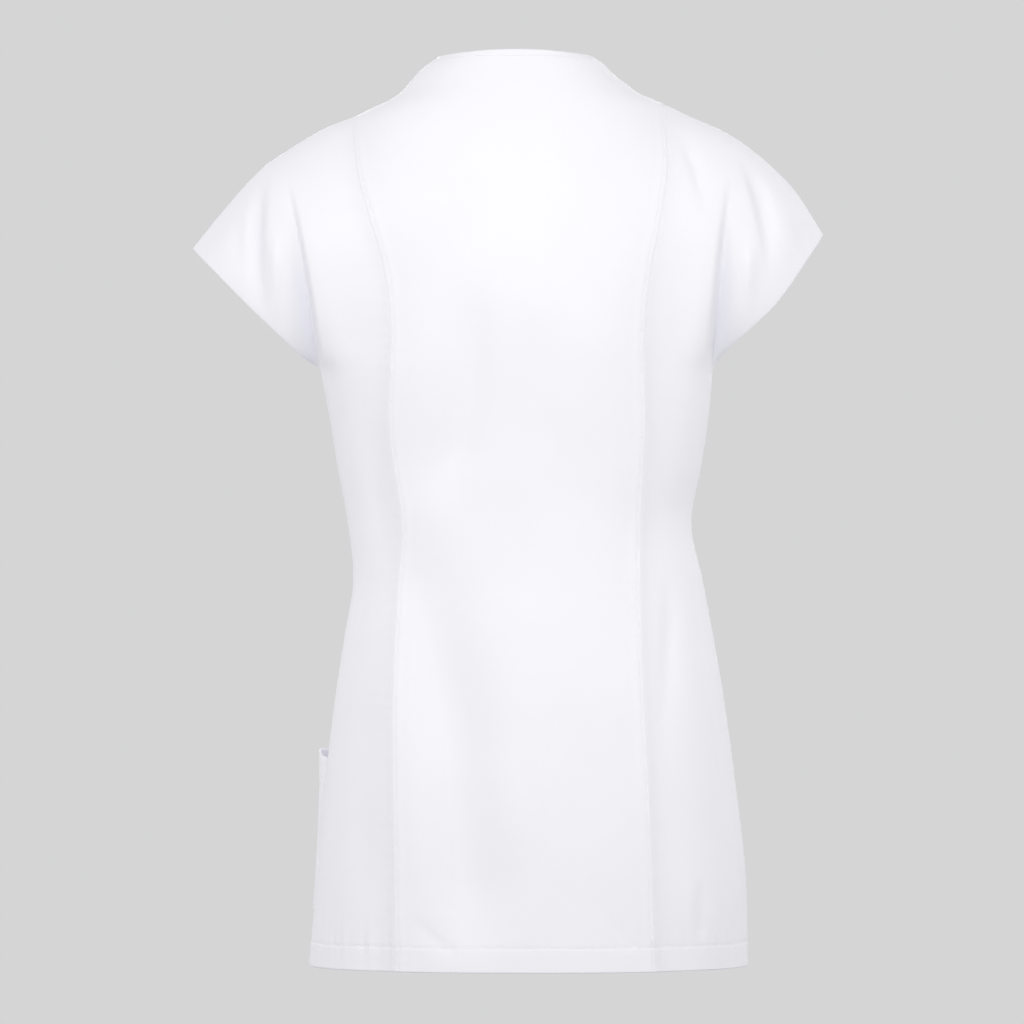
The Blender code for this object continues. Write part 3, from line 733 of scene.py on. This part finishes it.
def sew_front(name, node, side):
    """A centre front with its princess seam, its hem, its collar edge and its facing."""
    points = centre_front(side)
    from_edge = run_across(points)
    from_seam = from_edge[:, -1:] - from_edge
    up = run_up(points)
    down = up[-1:] - up
    facing_line = groove(from_edge, FACING_DEPTH) + groove(from_edge, EDGE_STITCH)
    relief = (topstitched(from_seam, points) + hem_band(up) + collar_edge(down) + facing_line
              + pucker(0.10 * MM, points[..., 2] + 0.1, from_seam)
              + pucker(0.07 * MM, points[..., 2] + 0.3, np.abs(from_edge - FACING_DEPTH))
              + pucker(0.12 * MM, points[..., 0], np.abs(up - HEM_DEPTH), 8 * MM))
    turning = np.maximum.reduce([turned_in(up, HEM_DEPTH), turned_in(down, COLLAR_FACING),
                                 turned_in(from_edge, FACING_DEPTH)])
    return (points, *sew(name, node, points, side, relief, turning))


centre_front_left = sew_front("centre_front_left", "front_centre_left", 1)
centre_front_right = sew_front("centre_front_right", "front_centre_right", -1)

# Hip pocket
# A patch pocket of the same twill on the left side front, turned in at its sides and foot and stitched down
# close to the edge. Its mouth has a stitched hem, and gapes because the hip below it is filled out.

POCKET_FOOT = -672 * MM
POCKET_MOUTH = -536 * MM
POCKET_LIFT = 0.4 * MM
POCKET_SUNK = 0.9 * MM
POCKET_GAPE = 10 * MM
POCKET_SWELL = 7 * MM
POCKET_SAG = 5 * MM
POCKET_GAPE_DEPTH = 48 * MM
POCKET_MARGIN = 5.4 * MM
POCKET_HEM = 22 * MM
POCKET_EDGE_STITCH = 2 * MM
POCKET_SEWN = 3 * MM
POCKET_TURNING = 8 * MM
POCKET_TURNING_EXTRA = 0.6 * MM

# The pocket lies on the panel's own surface. Its mouth gapes in the middle of its width and sags at its rear
# corner, and its rear half swells from the foot up. Its sides and foot are drawn down where they are sewn.
points, panel, panel_out = side_front_left
rows = np.flatnonzero((points[:, 0, 2] >= POCKET_FOOT) & (points[:, 0, 2] <= POCKET_MOUTH))
along = run_across(points)[rows]
columns = np.flatnonzero((along[0] > POCKET_MARGIN) & (along[0] < along[0, -1] - POCKET_MARGIN))
base, out = panel[np.ix_(rows, columns)], panel_out[np.ix_(rows, columns)]
across, height = run_across(base), run_up(base)
share = across / across[:, -1:]
to_mouth = height[-1:] - height
rise = smooth_step(1 - to_mouth / POCKET_GAPE_DEPTH)
gape = POCKET_GAPE * rise**1.2 * smooth_step(share / 0.35) * (1 - smooth_step((share - 0.6) / 0.3))
swell = POCKET_SWELL * smooth_step((share - 0.5) / 0.3) * smooth_step((1 - share) / 0.14)
gape += swell * height / height[-1:]
from_rim = np.minimum(np.minimum(across, across[:, -1:] - across), height)
sewn = 1 - smooth_step(from_rim / POCKET_SEWN)
base[..., 2] -= POCKET_SAG * rise**2 * smooth_step((share - 0.7) / 0.3)
pocket_relief = (groove(to_mouth, POCKET_HEM) + groove(from_rim, POCKET_EDGE_STITCH)
                 + pucker(0.10 * MM, height + across, from_rim, 6 * MM))
inner = base + out * (POCKET_LIFT - POCKET_SUNK * sewn + gape)[..., None]
pocket_turning = np.maximum(turned_in(to_mouth, POCKET_HEM), turned_in(from_rim, POCKET_TURNING))
pocket_thick = CLOTH_THICKNESS + POCKET_TURNING_EXTRA * pocket_turning
pocket_outer = inner + out * (pocket_thick + pocket_relief)[..., None]
pocket = cloth_mesh("hip_pocket", pocket_outer, inner, across, height, 1)
pocket.data.materials.append(TWILL)
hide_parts("pocket_left")
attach(pocket, "root")

# Stitching
# White polyester sewing thread, lockstitched at 3 mm a stitch, lying in the grooves that it draws into the
# cloth: down the princess seams, round the hem and the collar's edge, along the right front's edge and
# facing, and on the pocket.

STITCH_PITCH = 3.0 * MM
STITCH_LENGTH = 2.3 * MM
THREAD_RADIUS = 0.26 * MM
THREAD_TWIST = 1.2 * MM
BELOW_NECK = slice(2, SHOULDER_ROW)


def from_first(grid, out, distance):
    """The point and normal of each row of a grid at one distance from its first column, by straight lines
    between the columns on either side of it."""
    away = run_across(grid)
    k = np.clip((away < distance).sum(1), 1, grid.shape[1] - 1)
    row = np.arange(len(grid))
    f = ((distance - away[row, k - 1]) / (away[row, k] - away[row, k - 1]))[:, None]
    return grid[row, k - 1] * (1 - f) + grid[row, k] * f, out[row, k]


def from_last(grid, out, distance):
    """The same from the last column: the grid is read the other way round."""
    return from_first(grid[:, ::-1], out[:, ::-1], distance)


def from_foot(grid, out, distance):
    """The same for each column from the first row: rows and columns change places."""
    return from_first(grid.transpose(1, 0, 2), out.transpose(1, 0, 2), distance)


def from_head(grid, out, distance):
    """The same for each column from the last row."""
    return from_last(grid.transpose(1, 0, 2), out.transpose(1, 0, 2), distance)


def read_along(rows, keys, places):
    """Points or normals read at places along their keys, by straight lines between them."""
    return np.stack([np.interp(places, keys, rows[:, axis]) for axis in range(3)], 1)


def thread_mesh(name, lines):
    """Stitches along lines: at every pitch of a line's length a short bar of four rings of six points and
    two end points, laid along the line's direction, a quarter sunk in the cloth and drawn in at its ends."""
    turn = np.arange(6) * np.pi / 3
    along = np.array([-0.5, -0.36, 0.36, 0.5]) * STITCH_LENGTH
    width = np.array([0.45, 1.0, 1.0, 0.45]) * THREAD_RADIUS
    lift = np.array([-0.2, 0.5, 0.5, -0.2]) * THREAD_RADIUS
    rings = np.stack([np.repeat(along, 6), np.outer(width, np.cos(turn)).ravel(),
                      np.outer(width, np.sin(turn)).ravel() + np.repeat(lift, 6)], 1)
    tips = np.array([[along[0] - 0.2 * MM, 0, lift[0]], [along[3] + 0.2 * MM, 0, lift[3]]])
    bar = np.concatenate([rings, tips])
    k = np.arange(6)
    on = np.roll(k, -1)
    quads = np.concatenate([np.stack([k + r, on + r, on + r + 6, k + r + 6], 1) for r in (0, 6, 12)])
    ends = np.concatenate([np.stack([on, k, np.full(6, 24)], 1),
                           np.stack([k + 18, on + 18, np.full(6, 25)], 1)])
    corners = []
    for points, out in lines:
        length = np.concatenate([[0], np.cumsum(np.linalg.norm(np.diff(points, axis=0), axis=1))])
        at = np.arange(0.5, length[-1] / STITCH_PITCH - 0.5) * STITCH_PITCH
        step = 0.3 * STITCH_PITCH
        ahead = read_along(points, length, at + step) - read_along(points, length, at - step)
        ahead /= np.linalg.norm(ahead, axis=1, keepdims=True)
        aside = np.cross(read_along(out, length, at), ahead)
        aside /= np.linalg.norm(aside, axis=1, keepdims=True)
        axes = np.stack([ahead, aside, np.cross(ahead, aside)], 1)
        corners.append(read_along(points, length, at)[:, None] + np.einsum("pk,skx->spx", bar, axes))
    bars = np.concatenate(corners)
    points = bars.reshape(-1, 3)
    shift = (np.arange(len(bars)) * len(bar))[:, None, None]
    faces = (quads + shift).reshape(-1, 4).tolist() + (ends + shift).reshape(-1, 3).tolist()
    mesh = bpy.data.meshes.new(name)
    mesh.from_pydata(points.tolist(), [], faces)
    mesh.shade_smooth()
    return into_scene(name, mesh)


def sewing_thread():
    """Spun polyester thread: white, with a little more shine than the cloth, and a twist every 1.2 mm."""
    material, tree, shader = blank_material("white sewing thread")
    solid = add_node(tree, "ShaderNodeTexCoord")
    twist = add_node(tree, "ShaderNodeTexWave",
                     {"bands_direction": "DIAGONAL", "Scale": DIAGONAL_WAVE / THREAD_TWIST},
                     {"Vector": solid.outputs["Object"]})
    relief = add_node(tree, "ShaderNodeBump", {"Strength": 0.3, "Distance": 0.05 * MM},
                      {"Height": twist.outputs["Fac"]})
    tree.links.new(relief.outputs["Normal"], shader.inputs["Normal"])
    shader.inputs["Base Color"].default_value = linear("#F4F3FA")
    shader.inputs["Roughness"].default_value = 0.5
    return material


THREAD = sewing_thread()


def stitch(name, lines):
    """The stitches of some lines as one piece of thread that moves with the cloth."""
    made = thread_mesh(name, lines)
    made.data.materials.append(THREAD)
    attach(made, "root")


def below_neck(line):
    """The part of a line that lies on the rows below the collar."""
    return line[0][BELOW_NECK], line[1][BELOW_NECK]


stitch("stitching_back", [
    below_neck(from_first(centre_back, centre_back_out, PRINCESS_LINE)),
    below_neck(from_last(centre_back, centre_back_out, PRINCESS_LINE)),
])
stitch("stitching_front", [
    below_neck(from_last(*centre_front_left[1:], PRINCESS_LINE)),
    below_neck(from_last(*centre_front_right[1:], PRINCESS_LINE)),
    from_first(*centre_front_right[1:], EDGE_STITCH),
    from_first(*centre_front_right[1:], FACING_DEPTH),
])
other_panels = (side_back_left, side_back_right, side_front_left, side_front_right, centre_front_left,
                centre_front_right)
stitch("stitching_hem", [
    from_foot(centre_back, centre_back_out, HEM_DEPTH),
    *[from_foot(*panel[1:], HEM_DEPTH) for panel in other_panels],
])
stitch("stitching_collar", [
    from_head(centre_back, centre_back_out, COLLAR_STITCH),
    from_head(*centre_front_left[1:], COLLAR_STITCH),
    from_head(*centre_front_right[1:], COLLAR_STITCH),
])
stitch("stitching_pocket", [
    from_first(pocket_outer, out, POCKET_EDGE_STITCH),
    from_last(pocket_outer, out, POCKET_EDGE_STITCH),
    from_foot(pocket_outer, out, POCKET_EDGE_STITCH),
    from_head(pocket_outer, out, POCKET_HEM),
])

# Press studs
# Eight snap studs with pressed brass caps in white enamel: a flat rolled rim, a shallow ring and a slightly
# domed middle. Each is riveted through the lap, on the middle line of the front.

STUD_RADIUS = 5.5 * MM
STUD_TOP = 32 * MM
STUD_PITCH = 82 * MM
STUD_COUNT = 8
CAP_STEPS = 40

# The cap's profile from its foot to its middle: share of the radius, height in millimetres
CAP = np.array([
    [0.90, 0.00],
    [0.99, 0.20],
    [1.00, 0.60],
    [0.97, 0.95],
    [0.90, 1.15],
    [0.82, 1.18],
    [0.76, 1.05],
    [0.70, 1.02],
    [0.60, 1.22],
    [0.45, 1.42],
    [0.25, 1.55],
    [0.08, 1.60],
])


def cap_mesh(name, seat, way):
    """A turned cap: its profile swept round the axis in equal steps, closed by a point at the top and one at
    the foot."""
    side = np.cross(way, [0.0, 0.0, 1.0])
    side /= np.linalg.norm(side)
    above = np.cross(way, side)
    turn = np.linspace(0, 2 * np.pi, CAP_STEPS, endpoint=False)
    ring = np.cos(turn)[:, None] * side + np.sin(turn)[:, None] * above
    radius, height = CAP[:, 0] * STUD_RADIUS, CAP[:, 1] * MM
    points = seat + ring[None] * radius[:, None, None] + way * height[:, None, None]
    points = np.concatenate([points.reshape(-1, 3), [seat, seat + way * height[-1]]])
    k = np.arange(CAP_STEPS)
    on = np.roll(k, -1)
    base = (np.arange(len(CAP) - 1) * CAP_STEPS)[:, None, None]
    bands = (np.stack([k, on, on + CAP_STEPS, k + CAP_STEPS], 1) + base).reshape(-1, 4)
    last = (len(CAP) - 1) * CAP_STEPS
    ends = np.concatenate([np.stack([on, k, np.full(CAP_STEPS, len(points) - 2)], 1),
                           np.stack([k + last, on + last, np.full(CAP_STEPS, len(points) - 1)], 1)])
    mesh = bpy.data.meshes.new(name)
    mesh.from_pydata(points.tolist(), [], bands.tolist() + ends.tolist())
    mesh.shade_smooth()
    mesh.set_sharp_from_angle(angle=np.radians(60))
    return into_scene(name, mesh)


def stud_enamel():
    """Stoved enamel on pressed brass: smooth white with a satin gloss and the faint ripple of a dip coat."""
    material, tree, shader = blank_material("white stoved enamel")
    solid = add_node(tree, "ShaderNodeTexCoord")
    ripple = add_node(tree, "ShaderNodeTexNoise", {"Scale": 700.0, "Detail": 1.0},
                      {"Vector": solid.outputs["Object"]})
    relief = add_node(tree, "ShaderNodeBump", {"Strength": 0.08, "Distance": 0.1 * MM},
                      {"Height": ripple.outputs["Fac"]})
    tree.links.new(relief.outputs["Normal"], shader.inputs["Normal"])
    shader.inputs["Base Color"].default_value = linear("#F1F1F5")
    shader.inputs["Roughness"].default_value = 0.28
    shader.inputs["Coat Weight"].default_value = 0.3
    shader.inputs["Coat Roughness"].default_value = 0.15
    return material


ENAMEL = stud_enamel()
middle_line, middle_out = (grid[:, LAP_COLUMNS] for grid in centre_front_right[1:])
for number in range(STUD_COUNT):
    level = [STUD_TOP - STUD_PITCH * number]
    seat = read_along(middle_line, middle_line[:, 2], level)[0]
    way = read_along(middle_out, middle_line[:, 2], level)[0]
    way /= np.linalg.norm(way)
    cap = cap_mesh(f"stud_cap_{number + 1}", seat, way)
    cap.data.materials.append(ENAMEL)
    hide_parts(f"stud_{number + 1}")
    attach(cap, "root")

# Studio
# A plain pale floor below the blouse, soft light from large panels on all sides, and a long lens square to
# the back. The pale backdrop is the world's own light, which also fills the shadows.

# The picture: a pixel's size on the blouse, pixels a side, and the column and row of the neck's middle
PIXEL = 0.835 * MM
PICTURE_SIDE = 1024
NECK_COLUMN = 518
NECK_ROW = 108
CAMERA_DISTANCE = 6.0
SENSOR = 36.0
FLOOR_HEIGHT = -0.95
FLOOR_HALF = 2
CLOTH_MIDDLE = (0.0, 0.0, -0.33)
CHEST = (0.0, 0.0, -0.22)
SIDE_PANEL = (1.2, 1.4)
UPPER_PANEL = (0.9, 0.6)
UPPER_POWER = 1.68
UPPER_SPREAD = 60

world = bpy.data.worlds.new("studio")
bpy.context.scene.world = world
world.use_nodes = True
backdrop = world.node_tree.nodes["Background"]
backdrop.inputs["Color"].default_value = linear("#D5D5D6")
backdrop.inputs["Strength"].default_value = 1.0

floor_corners = [(-FLOOR_HALF, -FLOOR_HALF, FLOOR_HEIGHT), (FLOOR_HALF, -FLOOR_HALF, FLOOR_HEIGHT),
                 (FLOOR_HALF, FLOOR_HALF, FLOOR_HEIGHT), (-FLOOR_HALF, FLOOR_HALF, FLOOR_HEIGHT)]
floor_mesh = bpy.data.meshes.new("floor")
floor_mesh.from_pydata(floor_corners, [], [(0, 1, 2, 3)])
floor = into_scene("floor", floor_mesh)
floor_paint, _, floor_shader = blank_material("matt floor")
floor_shader.inputs["Base Color"].default_value = linear("#D2D2D4")
floor_shader.inputs["Roughness"].default_value = 0.9
floor_mesh.materials.append(floor_paint)


def light_panel(name, place, target, size, power, spread=180):
    """A rectangular soft light that faces its target, its rays held within a spread in degrees."""
    lamp = bpy.data.lights.new(name, "AREA")
    lamp.shape = "RECTANGLE"
    lamp.size, lamp.size_y = size
    lamp.energy = power
    lamp.color = linear("#FEFCF1")[:3]
    lamp.spread = np.radians(spread)
    made = into_scene(name, lamp)
    made.location = place
    made.rotation_euler = (Vector(target) - Vector(place)).to_track_quat("-Z", "Y").to_euler()


for end, way, left_power, right_power in (("back", 1, 13.5, 13.2), ("front", -1, 13.2, 13.5)):
    light_panel(f"left {end} panel", (2.3, 2.1 * way, 0.5), CLOTH_MIDDLE, SIDE_PANEL, left_power)
    light_panel(f"right {end} panel", (-2.3, 2.1 * way, 0.5), CLOTH_MIDDLE, SIDE_PANEL, right_power)
    light_panel(f"upper {end} panel", (0.0, 2.2 * way, 0.45), CHEST, UPPER_PANEL, UPPER_POWER, UPPER_SPREAD)

camera_lens = bpy.data.cameras.new("camera")
camera_lens.sensor_width = SENSOR
camera_lens.lens = SENSOR * CAMERA_DISTANCE / (PICTURE_SIDE * PIXEL)
camera_lens.clip_end = 50
camera = into_scene("camera", camera_lens)
camera.location = ((NECK_COLUMN - PICTURE_SIDE / 2) * PIXEL, CAMERA_DISTANCE + SEAM_PLANE,
                   (NECK_ROW - PICTURE_SIDE / 2) * PIXEL)
camera.rotation_euler = (np.pi / 2, 0, np.pi)
bpy.context.scene.camera = camera
bpy.context.scene.view_settings.view_transform = "Standard"
